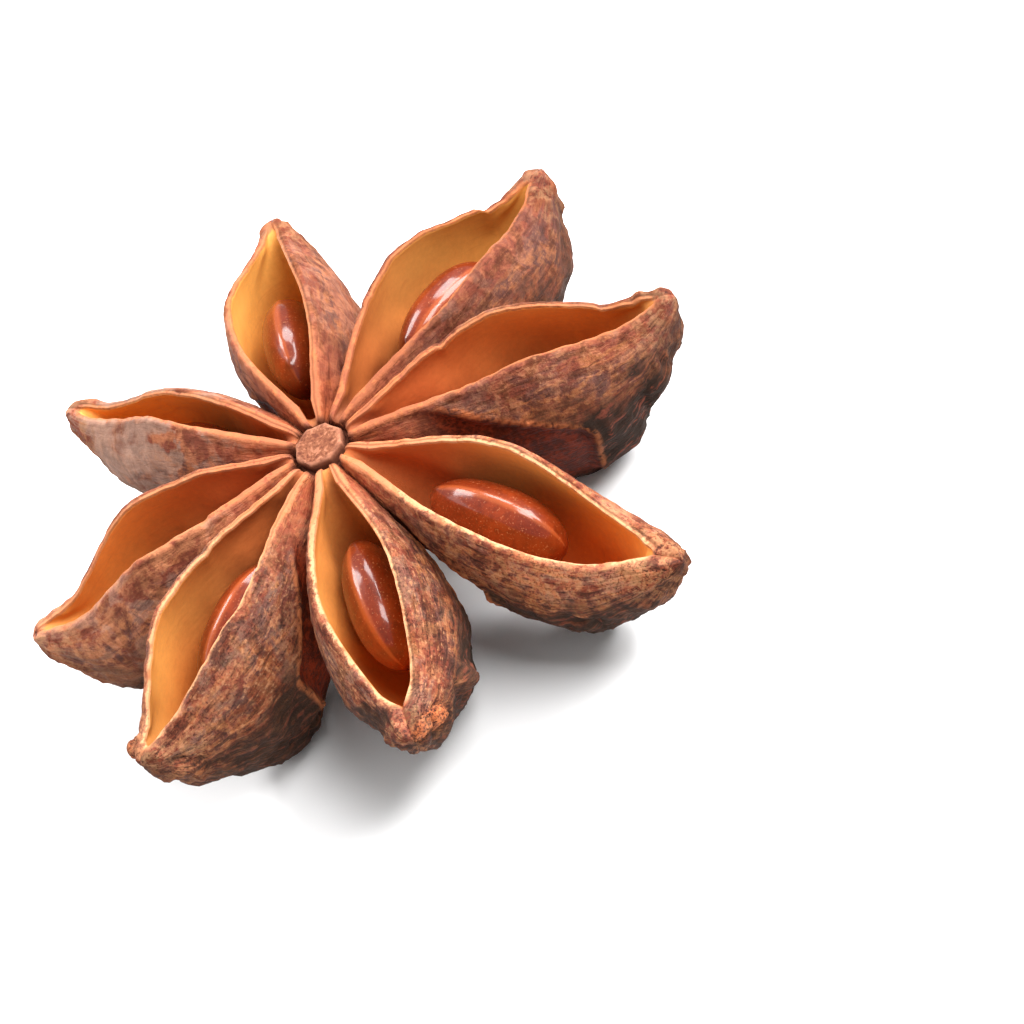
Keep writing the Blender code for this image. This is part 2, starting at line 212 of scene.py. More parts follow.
# the fine form of a pod, in mm
fine = dict(
    stations=104, crowded=0.5, outerRows=40, outerCrowded=0.38, innerRows=11,
    lipProfile=((0.07, 0.62), (0.22, 0.30), (0.45, 0.08), (0.72, 0.0), (0.92, 0.22)),  # shares across, down
    lipRound=0.15, lipMost=0.8, wallMost=0.6,  # the last two are shares of the room there is
    shutGroove=0.05, shutLength=0.09, shutPower=2.5,  # where the slit ends before the beak
    fingerLength=0.45, fingerDrop=0.14, fingerPinch=0.10,  # the rounded ends of the lips at the column
    tipLength=0.7, tipLeast=0.12, tipMiddle=0.38,
    streakSize=(2.2, 0.40), ridge=2.4, wartFrom=0.015,
    crease=0.10, creaseWide=0.20, creaseAway=0.08, creaseLeast=0.85,
    ringDip=0.16, ringAt=1.45, ringWide=0.30, stainWide=0.7, stainPower=4,  # round a knob
    grainDepth=7.5, reliefFull=0.14, sharpAngle=50,
)

# how much of a noise is lost: at the lips' far end, low down on the pods, and in the pressed flats
calm = dict(lip=0.6, streak=0.6, fold=0.85, grit=0.5)

# noises of the relief: strength (mostly in mm), size of a feature, and an offset
noises = dict(
    lipWave=(0.07, 1.7, 0.0), lipNick=(0.09, 0.55, 3.1), swell=(0.30, 1.0, 0.0), streak=(0.045, 1.0, 0.0),
    streakBend=(0.5, 1.4, 8.0), fold=(0.102, 1.2, 2.0), smallFold=(0.068, 0.55, 5.0), bulge=(0.22, 1.9, 12.0),
    grit=(0.030, 0.38, 9.0), wart=(0.30, 0.75, 7.0), beakGrit=(0.060, 0.34, 15.0), worn=(0.5, 1.8, 4.0),
    knob=(0.45, 0.45, 21.0), lining=(0.012, 1.6, 6.0), topGrit=(0.05, 0.38, 1.0), topDent=(0.05, 0.9, 3.0),
)

# where a feature starts and where it is full: shares of a pod's length or height, or mm
ranges = dict(
    lipAlong=(0.05, 0.20), lipEnd=(0.90, 1.0), fingerDown=(0.0, 0.25),
    swellDown=(0.15, 0.50), swellAlong=(0.25, 0.60), swellEnd=(0.96, 1.0),
    crackGap=(-0.08, 0.10), crackEnd=(0.22, 0.40), columnCrack=(0.002, 0.020), crackLip=(-0.30, 0.10),
    outside=(-0.05, 0.18), flatEdge=(-0.05, 0.22), flatAlong=(0.15, 0.28), flatEnd=(0.84, 0.95),
    foldDown=(0.20, 0.55), foldAlong=(0.15, 0.50), beak=(0.80, 0.95), tip=(0.985, 1.0),
    creaseAlong=(0.20, 0.34), creaseEnd=(0.78, 0.92), slitEnd=(-0.03, 0.02), scab=(-0.02, 0.01),
    topMiddle=(0.0, 0.3), topEdge=(0.12, 0.30), topCrack=(0.10, 0.28), topCrackEnd=(3.5, 5.0),
    stub=(5.0, 7.5),
)


# these keep the noises of one pod and side apart from the others'
strides = dict(lip=(40.0, 9), grain=(40.0, 11), streak=(8.0, 3))


def strideOf(name, index, side):
    return strides[name][0] * index + strides[name][1] * side


def reliefOf(name, spots, ridged=False):
    # one of the noises, or sharp ridges where it crosses 0
    strength, size, offset = noises[name]
    wave = noiseAt(spots, size, offset)
    return strength * (1 - fine["ridge"] * np.abs(wave) if ridged else wave)


def within(value, name):
    return ease(value, *ranges[name])


# knobs on the outside of a pod: pod, side (1 anticlockwise), share of its length, share of the way down,
# height and radius in mm, and how orange the knob is
knobs = [
    dict(pod=4, side=1, along=0.76, down=0.50, high=0.66, wide=0.66),
    dict(pod=4, side=1, along=0.93, down=0.40, high=0.30, wide=0.48, stain=0.9),
    dict(pod=4, side=1, along=0.985, down=0.25, high=0.10, wide=0.45, stain=0.7),
    dict(pod=4, side=-1, along=0.85, down=0.35, high=-0.34, wide=1.10),
    dict(pod=5, side=-1, along=0.95, down=0.22, high=0.36, wide=0.45, stain=0.3),
    dict(pod=5, side=1, along=0.93, down=0.50, high=0.32, wide=0.50, stain=0.15),
    dict(pod=5, side=1, along=0.54, down=0.84, high=0.26, wide=0.42),
    dict(pod=3, side=-1, along=0.70, down=0.62, high=0.28, wide=0.60),
    dict(pod=2, side=-1, along=0.84, down=0.60, high=0.30, wide=0.80),
]

# notches in a lip: pod, side, share of its length, depth in mm, and how far they reach on both sides in mm
notches = [
    dict(pod=1, side=1, along=0.81, deep=0.34, near=0.15, far=2.2),
    dict(pod=2, side=1, along=0.79, deep=0.22, near=0.12, far=0.9),
    dict(pod=2, side=1, along=0.34, deep=0.14, near=0.10, far=0.5),
    dict(pod=3, side=1, along=0.43, deep=0.10, near=0.20, far=0.2),
    dict(pod=6, side=1, along=0.30, deep=0.14, near=0.15, far=0.6),
    dict(pod=5, side=-1, along=0.36, deep=0.15, near=0.12, far=0.5),
]


def slitOpen(pod, along):
    # 1 where the slit gapes, and 0 beyond the round end of it
    late = np.clip((along - pod["shut"]) / fine["shutLength"] + 1, 0, 1)
    return np.sqrt(1 - late ** fine["shutPower"])


def innerSpread(pod, along, sunk, deep, flank, end):
    # half the width of the hollow at a share of the way to its bottom
    outer = outerSpread(pod, along, sunk * deep / podDepth(pod, along), flank, end)
    wall = star["lipThick"] + (star["wall"] - star["lipThick"]) * ease(sunk, 0, star["wallBy"])
    inner = (outer - np.minimum(wall, fine["wallMost"] * outer)) * slitOpen(pod, along)
    return np.maximum(star["slitLeast"], inner) * np.sqrt(np.maximum(0, 1 - sunk ** star["hollowPower"]))


def hollowDepth(pod, along):
    room = podDepth(pod, along) - star["keelWall"]
    gape = ease(along, *star["gape"]) * (1 - ease(along, *star["gapeEnd"]))
    deep = star["groove"] + (room - star["groove"]) * gape
    return deep + (fine["shutGroove"] - deep) * within(along - pod["shut"], "slitEnd")


def lipLine(index, side, along, radius):
    # how far the lip rises and falls along the pod, with its notches
    pod = pods[index]
    spots = np.concatenate([radius, np.full_like(radius, strideOf("lip", index, side)), 0 * radius], axis=1)
    wave = reliefOf("lipWave", spots) + reliefOf("lipNick", spots)
    wave = wave[:, None] * within(along, "lipAlong") * (1 - calm["lip"] * within(along, "lipEnd"))
    for notch in notches:
        if (notch["pod"], notch["side"]) == (index, side):
            away = radius - star["podStart"] - notch["along"] * (pod["reach"] - star["podStart"])
            wide = np.where(away < 0, notch["near"], notch["far"])
            wave = wave - notch["deep"] * np.exp(-((away / wide) ** 2))
    return wave


def face(across, height, fromLip, side, down=0.0, crack=0.0):
    known = dict(across=across, height=height, fromLip=fromLip, side=side, down=down, crack=crack)
    return {key: values + 0 * height for key, values in known.items()}


def podSide(index, side, gap, end, along, radius):
    # the outside, the lip and the inside of one side of a pod, each from the lip down
    pod = pods[index]
    shift = pod["bow"] * hump(along, star["bowAt"])
    keel, deep = keelHeight(pod, along), hollowDepth(pod, along)
    near = np.clip(1 - (radius - star["podStart"]) / fine["fingerLength"], 0, 1)
    finger = 1 - np.sqrt(1 - near**2)
    top = lipHeight(pod, along) + lipLine(index, side, along, radius) - fine["fingerDrop"] * finger
    flank = radius * math.tan(gap) + star["fused"] - side * shift
    bend = np.minimum(fine["lipRound"], fine["lipMost"] * deep)
    # outside, from just under the lip to the keel, with large swellings low down
    start = bend / (top - keel)
    down = start + (1 - start) * crowd(fine["outerRows"], fine["outerCrowded"])[None, :]
    across = outerSpread(pod, along, down, flank, end)
    height = top + (keel - top) * down
    rough = within(down, "swellDown") * within(along, "swellAlong") * (1 - within(along, "swellEnd"))
    spots = np.stack([along * star["lumpsAlong"] + 0 * height, (shift + side * across) / star["lumpSize"],
                      (height + star["columnTop"]) / star["lumpSize"]], axis=-1)
    spots[..., 0] += index * star["lumpStride"]
    swell = rough * reliefOf("swell", spots)
    across = across + swell * (1 - down)
    height = height - swell * down
    across = across - fine["fingerPinch"] * finger * (1 - within(down, "fingerDown"))
    # painted shade where the pod meets its neighbour near the column
    crack = (1 - within(flank - across, "crackGap")) * (1 - within(along, "crackEnd"))
    outer = face(shift + side * across, height, (down - start) * (top - keel) + bend, side, down, crack)
    # inside, from just under the lip to the bottom of the hollow
    start = bend / deep
    sunk = start + (1 - start) * crowd(fine["innerRows"], 1)[None, :]
    across = innerSpread(pod, along, sunk, deep, flank, end)
    inner = face(shift + side * across, top - deep * sunk, -deep * sunk, side)
    # the lip between them slopes up from the outside to a narrow crest at its inner edge
    share, sunk = (np.array(row)[None, :] for row in zip(*fine["lipProfile"]))
    across = outer["across"][:, :1] * (1 - share) + inner["across"][:, :1] * share
    over = face(across, top - bend * sunk, bend * (1 - 2 * share), side)
    return outer, over, inner


def joinSides(sides, key):
    # round the section: outside of side 1 down, side -1 up, over its lip, its inside down, up side 1's, over
    outA, overA, inA = (part[key] for part in sides[0])
    outB, overB, inB = (part[key] for part in sides[1])
    return np.concatenate([outA, outB[:, -2::-1], overB, inB, inA[:, -2::-1], overA[:, ::-1]], axis=1)


def outwardNormals(points, sides, turn):
    alongRing = np.roll(points, -1, axis=1) - np.roll(points, 1, axis=1)
    alongPod = np.gradient(points, axis=0)
    normal = np.cross(alongPod, alongRing)
    normal /= np.maximum(1e-9, np.linalg.norm(normal, axis=2, keepdims=True))
    # the outside rows of side 1, without their ends, tell which way is out
    outward = np.stack([-math.sin(turn) * sides, math.cos(turn) * sides, 0 * sides], axis=-1)
    rows = slice(2, fine["outerRows"] - 4)
    return -normal if (normal[:, rows] * outward[:, rows]).sum() < 0 else normal


# the looks of a pod travel to its paint three at a time
podFacts = dict(
    tone=("gold", "grey", "light"), age=("char", "lips", "flecked"), inner=("glow", "dimEnd", "dimRoot"),
)


def podGrid(index):
    # points in mm round the star's axis, and what the paint has to know about each of them
    pod = pods[index]
    along = crowd(fine["stations"], fine["crowded"])[:, None]
    length = pod["reach"] - star["podStart"]
    radius = star["podStart"] + length * along
    both = [podSide(index, side, gap, end, along, radius)
            for side, gap, end in zip((1, -1), halfGaps(index), pod["press"])]
    across, height, down, fromLip, sides, crack = (
        joinSides(both, key) for key in ("across", "height", "down", "fromLip", "side", "crack"))
    crack = np.maximum(crack, (1 - within(along, "columnCrack")) * within(fromLip, "crackLip"))
    # the beak's end closes to a small rounded tip
    left = np.clip((1 - along) * length / fine["tipLength"], 0, 1)
    close = fine["tipLeast"] + (1 - fine["tipLeast"]) * np.sqrt(1 - (1 - left) ** 2)
    share = fine["tipMiddle"]
    middle = (height.max(axis=1) * (1 - share) + height.min(axis=1) * share)[:, None]
    height = middle + (height - middle) * close
    across = across * close
    turn = math.radians(pod["turn"])
    points = np.stack([*around(turn, radius, across), height], axis=-1)
    # how far each point is outside, and in the flat that a neighbour pressed
    full = podDepth(pod, along)
    outside = within(fromLip, "outside")
    ends = np.where(sides > 0, pod["press"][0], pod["press"][1])
    pressed = pressedDepth(pod, along, down, ends)
    inFlat = within(pressed, "flatEdge") * within(along, "flatAlong")
    inFlat = inFlat * (1 - within(down, "flatEnd")) * outside
    depth = np.where(fromLip > 0, down * fine["grainDepth"], -fromLip)
    grain = np.stack([radius + 0 * down, depth, strideOf("grain", index, sides)], axis=-1)
    # relief: dried streaks and wrinkles, grit, and warts at the beak
    long, thin = fine["streakSize"]
    streaks = np.stack([radius / long + 0 * down, depth / thin, strideOf("streak", index, sides)], axis=-1)
    streaks += reliefOf("streakBend", points)[..., None]
    low = within(down, "foldDown") * within(along, "foldAlong")
    atBeak = within(along, "beak")
    rugged = reliefOf("fold", points, True) + reliefOf("smallFold", points, True) + reliefOf("bulge", points)
    relief = reliefOf("streak", streaks, True) * (1 - calm["streak"] * low)
    relief += rugged * low * (1 - calm["fold"] * inFlat)
    relief += reliefOf("grit", points) * (1 - calm["grit"] * inFlat)
    relief += np.maximum(0, reliefOf("wart", points) - fine["wartFrom"]) * atBeak
    relief += reliefOf("beakGrit", points) * atBeak * pod["flecked"]
    relief *= 1 - within(along, "tip")
    # the crease round the pressed flat, and knobs
    shown = within(along, "creaseAlong") * (1 - within(down, "creaseEnd"))
    shown = shown * (fine["creaseLeast"] + reliefOf("worn", points))
    crease = np.exp(-(((pressed + fine["creaseAway"]) / fine["creaseWide"]) ** 2)) * shown * outside
    relief += fine["crease"] * crease
    stain = 0 * down
    for knob in [knob for knob in knobs if knob["pod"] == index]:
        here = sides == knob["side"]
        far = np.hypot((along - knob["along"]) * pod["reach"], (down - knob["down"]) * full) / knob["wide"]
        far = far * (1 + reliefOf("knob", points))
        moat = np.exp(-(((far - fine["ringAt"]) / fine["ringWide"]) ** 2)) * (knob["high"] > 0)
        relief += (knob["high"] * np.exp(-(far**2)) - fine["ringDip"] * moat) * here
        spread = np.exp(-((fine["stainWide"] * far) ** fine["stainPower"]))
        stain = np.maximum(stain, knob.get("stain", 0) * spread * here)
    relief *= outside
    lining = reliefOf("lining", grain) * (1 - outside)
    points = points + outwardNormals(points, sides, turn) * (relief + lining)[..., None] + centre
    facts = dict(
        fromLip=fromLip, alongPod=along + 0 * down, pressed=inFlat, crease=crease, crack=crack,
        relief=relief / fine["reliefFull"], onColumn=0 * down, grain=grain, sunk=down, stain=stain,
        gaping=1 - within(along - pod["shut"], "scab") + 0 * down,
    )
    for name, keys in podFacts.items():
        facts[name] = np.stack([pod[key] + 0 * down for key in keys], axis=-1)
    return points, facts


# the column and the stub of the stalk, in mm, from the middle of the eight-sided top down to the broken end
column = dict(
    radius=1.30, wide=2.1, stalk=0.9, lean=0.6, sides=96, uneven=0.75, squareTo=1.0, roughFull=0.06,
    top=((0.02, 0.02), (0.05, 0.25), (0.09, 0.5), (0.07, 0.75), (0.05, 0.90), (0.09, 0.97), (0.20, 1.0),
         (0.45, 0.99), (0.80, 0.98)),  # depth, and share of the radius
    body=((1.1, 0.9), (2.4, 0.97), (4.0, 1.0), (4.9, 0.85)),  # depth, and share of the widest
    stub=((5.4, 1.2), (5.9, 1.04), (6.4, 1.0), (7.0, 1.02), (7.35, 0.98), (7.5, 0.8), (7.38, 0.3)),
    looks=dict(tone=(0, 0.2, 0.5), age=(0, 0, 0), inner=(1, 0, 0)),  # as podFacts
)


def columnGrid():
    parts = (("top", "radius"), ("body", "wide"), ("stub", "stalk"))
    profile = [(deep, share * column[size]) for part, size in parts for deep, share in column[part]]
    angle = np.linspace(0, 2 * np.pi, column["sides"], endpoint=False)[None, :]
    deep = np.array([row[0] for row in profile])[:, None]
    out = np.array([row[1] for row in profile])[:, None]
    eighth = np.pi / 4
    corner = np.cos(eighth / 2) / np.cos(angle % eighth - eighth / 2)
    edge = out * np.where(deep < column["squareTo"], corner, 1.0)
    lean = column["lean"] * within(deep, "stub")
    points = np.stack([edge * np.cos(angle) + lean, edge * np.sin(angle), 0 * edge - deep], axis=-1)
    rough = (reliefOf("topGrit", points) + reliefOf("topDent", points)) * within(out, "topMiddle")
    topFace = 1 - within(deep, "topEdge")
    points[..., 2] += rough * topFace
    points[..., :2] *= (1 + column["uneven"] * rough * (1 - topFace))[..., None]
    points += centre
    blank = 0 * edge
    facts = dict.fromkeys(("alongPod", "pressed", "crease", "gaping", "sunk", "stain"), blank)
    facts["grain"] = np.stack([edge * np.cos(angle), edge * np.sin(angle), deep + blank], axis=-1)
    facts["relief"] = rough / column["roughFull"]
    # painted shade on the column's side just below its top
    facts["crack"] = within(deep, "topCrack") * (1 - within(deep, "topCrackEnd")) + blank
    facts["fromLip"], facts["onColumn"] = blank + 2.0, blank + 1
    for name, values in column["looks"].items():
        facts[name] = np.stack([blank + value for value in values], axis=-1)
    return points, facts


def settle(shape, mesh):
    # large faces are cut into triangles
    bmesh.ops.triangulate(shape, faces=[flat for flat in shape.faces if len(flat.verts) > 4])
    shape.to_mesh(mesh)
    shape.free()
    return mesh


def gridMesh(name, points):
    # a closed tube of rings made from a grid of points in mm
    ring = points.shape[1]
    shape = bmesh.new()
    corners = [[shape.verts.new(Vector(spot) * mm) for spot in row] for row in points.tolist()]
    for near, far in zip(corners, corners[1:]):
        for k in range(ring):
            after = (k + 1) % ring
            shape.faces.new((near[k], near[after], far[after], far[k]))
    shape.faces.new(corners[0][::-1])
    shape.faces.new(corners[-1])
    bmesh.ops.recalc_face_normals(shape, faces=shape.faces)
    return settle(shape, bpy.data.meshes.new(name))


def setFacts(mesh, facts):
    # values at each point of a mesh, for the paint
    for key, values in facts.items():
        kind, field = ("FLOAT_VECTOR", "vector") if values.ndim == 2 else ("FLOAT", "value")
        layer = mesh.attributes.new(key, kind, "POINT")
        layer.data.foreach_set(field, values.astype(np.float32).ravel())


def wearFlat(mesh):
    # what lies below the floor is worn off, which leaves the flats that the star rests on
    shape = bmesh.new()
    shape.from_mesh(mesh)
    everything = shape.verts[:] + shape.edges[:] + shape.faces[:]
    bmesh.ops.bisect_plane(shape, geom=everything, dist=1e-7, plane_co=(0, 0, 0), plane_no=(0, 0, -1),
                           clear_outer=True)
    rim = [edge for edge in shape.edges if edge.is_boundary]
    bmesh.ops.holes_fill(shape, edges=rim)
    settle(shape, mesh)


def makeHusk():
    # the pods grow together with the column
    grids = [podGrid(index) for index in range(len(pods))]
    grown = bpy.data.collections.new("pods")
    bpy.context.scene.collection.children.link(grown)
    for points, _ in grids:
        grown.objects.link(bpy.data.objects.new("pod", gridMesh("pod", points)))
    grids.append(columnGrid())
    husk = addObject("huskFine", gridMesh("huskFine", grids[-1][0]))
    join = husk.modifiers.new("grow together", "BOOLEAN")
    join.operation = "UNION"
    join.operand_type = "COLLECTION"
    join.collection = grown
    join.solver = "MANIFOLD"
    bpy.context.view_layer.update()
    mesh = bpy.data.meshes.new_from_object(husk.evaluated_get(bpy.context.evaluated_depsgraph_get()))
    husk.modifiers.clear()
    husk.data = mesh
    for pod in list(grown.objects):
        bpy.data.objects.remove(pod)
    bpy.data.collections.remove(grown)
    wearFlat(mesh)
    # what each point knows comes back from the nearest point of the pods it was made from
    spots = np.concatenate([points.reshape(-1, 3) for points, _ in grids])
    facts = {}
    for points, known in grids:
        for key, values in known.items():
            rows = values.reshape(-1, 3) if values.ndim == 3 else values.reshape(-1)
            facts.setdefault(key, []).append(rows)
    tree = KDTree(len(spots))
    for number, spot in enumerate(spots.tolist()):
        tree.insert(spot, number)
    tree.balance()
    found = np.array([tree.find(vertex.co / mm)[1] for vertex in mesh.vertices])
    setFacts(mesh, {key: np.concatenate(rows)[found] for key, rows in facts.items()})
    mesh.materials.clear()
    mesh.shade_smooth()
    mesh.set_sharp_from_angle(angle=math.radians(fine["sharpAngle"]))
    return husk


# a seed, in mm; each is made smaller by its pod's seedSize, and its seam is turned by its pod's seamTurn
seedPlan = dict(
    length=7.4, height=4.6, thick=3.3, lean=14, rings=56, sides=96,
    tip=0.9998, roundEnd=2.3, roundSide=0.55, blunt=0.07, core=0.6,
    ridge=0.060, ridgeSharp=90, dent=0.003, dentSize=1.3,
    scar=0.10, scarWide=0.30, scarPlace=(-3.182, 0, 1.242),  # the small scar at the inner end
)


def makeSeed(number):
    pod = pods[number - 1]
    size = pod["seedSize"]
    steps = np.arange(1, seedPlan["rings"])[:, None]
    tip = [[seedPlan["tip"]]]
    place = np.concatenate([np.negative(tip), -np.cos(np.pi * steps / seedPlan["rings"]), tip])
    girth = (1 - np.abs(place) ** seedPlan["roundEnd"]) ** seedPlan["roundSide"]
    girth = girth * (1 + seedPlan["blunt"] * place)
    angle = np.linspace(0, 2 * np.pi, seedPlan["sides"], endpoint=False)[None, :]
    seam = np.maximum(0, np.sin(angle - math.radians(pod["seamTurn"]))) ** seedPlan["ridgeSharp"]
    x = seedPlan["length"] / 2 * place + 0 * angle
    y = seedPlan["thick"] / 2 * girth * np.cos(angle)
    z = seedPlan["height"] / 2 * girth * np.sin(angle) + seedPlan["ridge"] * seam * girth
    points = np.stack([x, y, z], axis=-1) * size
    dents = seedPlan["dent"] * noiseAt(points, seedPlan["dentSize"], 12.0 * number)
    away = np.linalg.norm(points - size * np.array(seedPlan["scarPlace"]), axis=2)
    scarred = np.exp(-((away / seedPlan["scarWide"]) ** 2))
    outward = points - np.stack([seedPlan["core"] * x, 0 * x, 0 * x], axis=-1) * size
    outward /= np.maximum(1e-6, np.linalg.norm(outward, axis=2, keepdims=True))
    points = points + outward * (dents + seedPlan["scar"] * scarred)[..., None]
    seed = addObject(f"seedFine_{number}", gridMesh(f"seedFine_{number}", points))
    facts = dict(seam=seam + 0 * x, scarred=scarred, endwise=place + 0 * x)
    setFacts(seed.data, {key: values.reshape(-1) for key, values in facts.items()})
    # it lies under the slit, leaning down to the column
    turn = math.radians(pod["turn"])
    along = (pod["seedOut"] - star["podStart"]) / (pod["reach"] - star["podStart"])
    shift = pod["bow"] * float(hump(along, star["bowAt"]))
    height = float(lipHeight(pod, along)) - pod["seedDeep"] - seedPlan["height"] / 2 * size
    spot = Vector(centre + (*around(turn, pod["seedOut"], shift), height))
    lean = Matrix.Rotation(math.radians(seedPlan["lean"]), 4, "Y")
    seed.data.transform(Matrix.Translation(spot * mm) @ Matrix.Rotation(turn, 4, "Z") @ lean)
    seed.data.shade_smooth()
    return seed


class Mark:
    # one socket of a material, which can be used in sums
    def __init__(self, tree, socket):
        self.tree = tree
        self.socket = socket

    def maths(self, operation, *values):
        return addNode(self.tree, "ShaderNodeMath", {"operation": operation}, dict(enumerate(values)))

    def __add__(self, other):
        return self.maths("ADD", self, other)

    def __sub__(self, other):
        return self.maths("SUBTRACT", self, other)

    def __rsub__(self, other):
        return self.maths("SUBTRACT", other, self)

    def __mul__(self, other):
        return self.maths("MULTIPLY", self, other)

    __radd__ = __add__
    __rmul__ = __mul__

    def between(self, low, high):
        # 0 at low and 1 at high, smooth between them
        return addNode(self.tree, "ShaderNodeMapRange", {"interpolation_type": "SMOOTHSTEP"},
                       {"Value": self, "From Min": low, "From Max": high})


def addNode(tree, kind, settings, sockets, output=0):
    node = tree.nodes.new(kind)
    for key, value in settings.items():
        setattr(node, key, value)
    for key, value in sockets.items():
        socket = node.inputs[key]
        if isinstance(value, Mark):
            tree.links.new(value.socket, socket)
        elif isinstance(value, tuple) and socket.type == "RGBA":
            socket.default_value = (*value, 1)
        else:
            socket.default_value = value
    return Mark(tree, node.outputs[output])


class Finish:
    # a material, its colours, and short names for the nodes that paint it
    def __init__(self, name, paint, **constants):
        self.material = bpy.data.materials.new(name)
        self.material.use_nodes = True
        self.tree = self.material.node_tree
        self.shader = self.tree.nodes["Principled BSDF"]
        self.paint = paint
        for key, value in constants.items():
            self.shader.inputs[key.replace("_", " ")].default_value = value

    def node(self, kind, settings=None, output=0, **sockets):
        sockets = {key.replace("_", " "): value for key, value in sockets.items()}
        return addNode(self.tree, kind, settings or {}, sockets, output)

    def known(self, name, vector=False):
        return self.node("ShaderNodeAttribute", {"attribute_name": name}, output=1 if vector else 2)

    def split(self, vector):
        return [self.node("ShaderNodeSeparateXYZ", Vector=vector, output=k) for k in range(3)]

    def stretched(self, vector, scale, offset=(0.0, 0.0, 0.0)):
        return addNode(self.tree, "ShaderNodeVectorMath", {"operation": "MULTIPLY_ADD"},
                       {0: vector, 1: scale, 2: offset})

    def place(self):
        # where a point is, in mm
        return self.stretched(self.node("ShaderNodeTexCoord", output=3), (1 / mm,) * 3)

    def cloud(self, vector, stretch=(1.0, 1.0, 1.0), offset=(0.0, 0.0, 0.0), **sockets):
        return self.node("ShaderNodeTexNoise", Vector=self.stretched(vector, stretch, offset), **sockets)

    def mix(self, how, first, second, share):
        return addNode(self.tree, "ShaderNodeMix", {"data_type": "RGBA", "blend_type": how},
                       {0: share, 6: first, 7: second}, output=2)

    def blend(self, first, second, share):
        # both colours may be names from the paint
        pair = [self.paint[colour] if isinstance(colour, str) else colour for colour in (first, second)]
        return self.mix("MIX", *pair, share)

    def layered(self, colour, *layers):
        # layers of paint: the name of each colour, and how much of it shows
        for name, share in layers:
            colour = self.blend(colour, name, share)
        return colour

    def shade(self, first, second, share=1.0):
        return self.mix("MULTIPLY", first, second, share)

    def wear(self, **links):
        for key, mark in links.items():
            self.tree.links.new(mark.socket, self.shader.inputs[key.replace("_", " ")])
        return self.material


# colours of the husk, linear
huskPaint = dict(
    mauve=(0.290, 0.076, 0.045), slate=(0.110, 0.053, 0.047), warm=(0.290, 0.073, 0.034),
    olive=(0.125, 0.045, 0.016), brown=(0.098, 0.027, 0.010), darkSpecksAndShade=(0.022, 0.012, 0.008),
    tan=(0.36, 0.175, 0.095), pale=(0.55, 0.205, 0.100), paleAsh=(0.42, 0.25, 0.190),
    ochre=(0.50, 0.180, 0.066), edge=(0.44, 0.135, 0.050), clump=(0.56, 0.155, 0.050),
    root=(0.235, 0.056, 0.032), rootSkin=(0.46, 0.165, 0.105), crack=(0.110, 0.030, 0.016),
    flat=(0.066, 0.009, 0.003), flatWarm=(0.190, 0.024, 0.007),
    rim=(0.60, 0.31, 0.155), rimDark=(0.30, 0.095, 0.036),
    rimRoot=(0.46, 0.160, 0.072), rimRootDark=(0.27, 0.080, 0.036),
    gold=(0.94, 0.45, 0.100), amber=(0.74, 0.180, 0.050), deepGold=(0.72, 0.195, 0.036),
    # hollow: painted shade
    deepAmber=(0.46, 0.112, 0.031), hollow=(0.120, 0.022, 0.007),
    top=(0.208, 0.073, 0.037), topDark=(0.115, 0.034, 0.019), brim=(0.46, 0.200, 0.120),
)

# tints that the skin is multiplied by; root is painted shade, darker and redder towards the column
huskTints = dict(
    warm=(1.0, 0.90, 0.77), plain=(1.0, 0.98, 0.93), pink=(1.09, 0.95, 0.97), straw=(0.94, 1.06, 1.03),
    root=(0.88, 0.62, 0.44),
)

# noises that break the colours up: the first three run along the pods, the others don't
huskNoises = dict(
    broad=dict(stretch=(0.28, 0.95, 1.0), offset=(5.0, 2.0, 8.0),
               Scale=1.0, Detail=3.0, Roughness=0.55, Distortion=0.7),
    vein=dict(stretch=(0.38, 2.5, 1.0), Scale=1.0, Detail=4.0, Roughness=0.62, Distortion=0.7),
    fibre=dict(stretch=(0.75, 4.8, 1.0), offset=(3.0, 9.0, 4.0),
               Scale=1.0, Detail=3.0, Roughness=0.62, Distortion=0.7),
    patch=dict(Scale=0.60, Detail=4.0, Roughness=0.60, Distortion=0.8),
    patchB=dict(offset=(31.0, 7.0, 3.0), Scale=0.85, Detail=4.0, Roughness=0.60, Distortion=0.9),
    mottle=dict(offset=(-11.0, 17.0, 5.0), Scale=1.7, Detail=4.0, Roughness=0.65, Distortion=0.6),
    speck=dict(offset=(5.0, 47.0, 13.0), Scale=4.2, Detail=4.0, Roughness=0.65),
    dust=dict(Scale=9.5, Detail=2.0, Roughness=0.65),
)
huskBump = dict(Distance=0.00028, Strength=0.55)


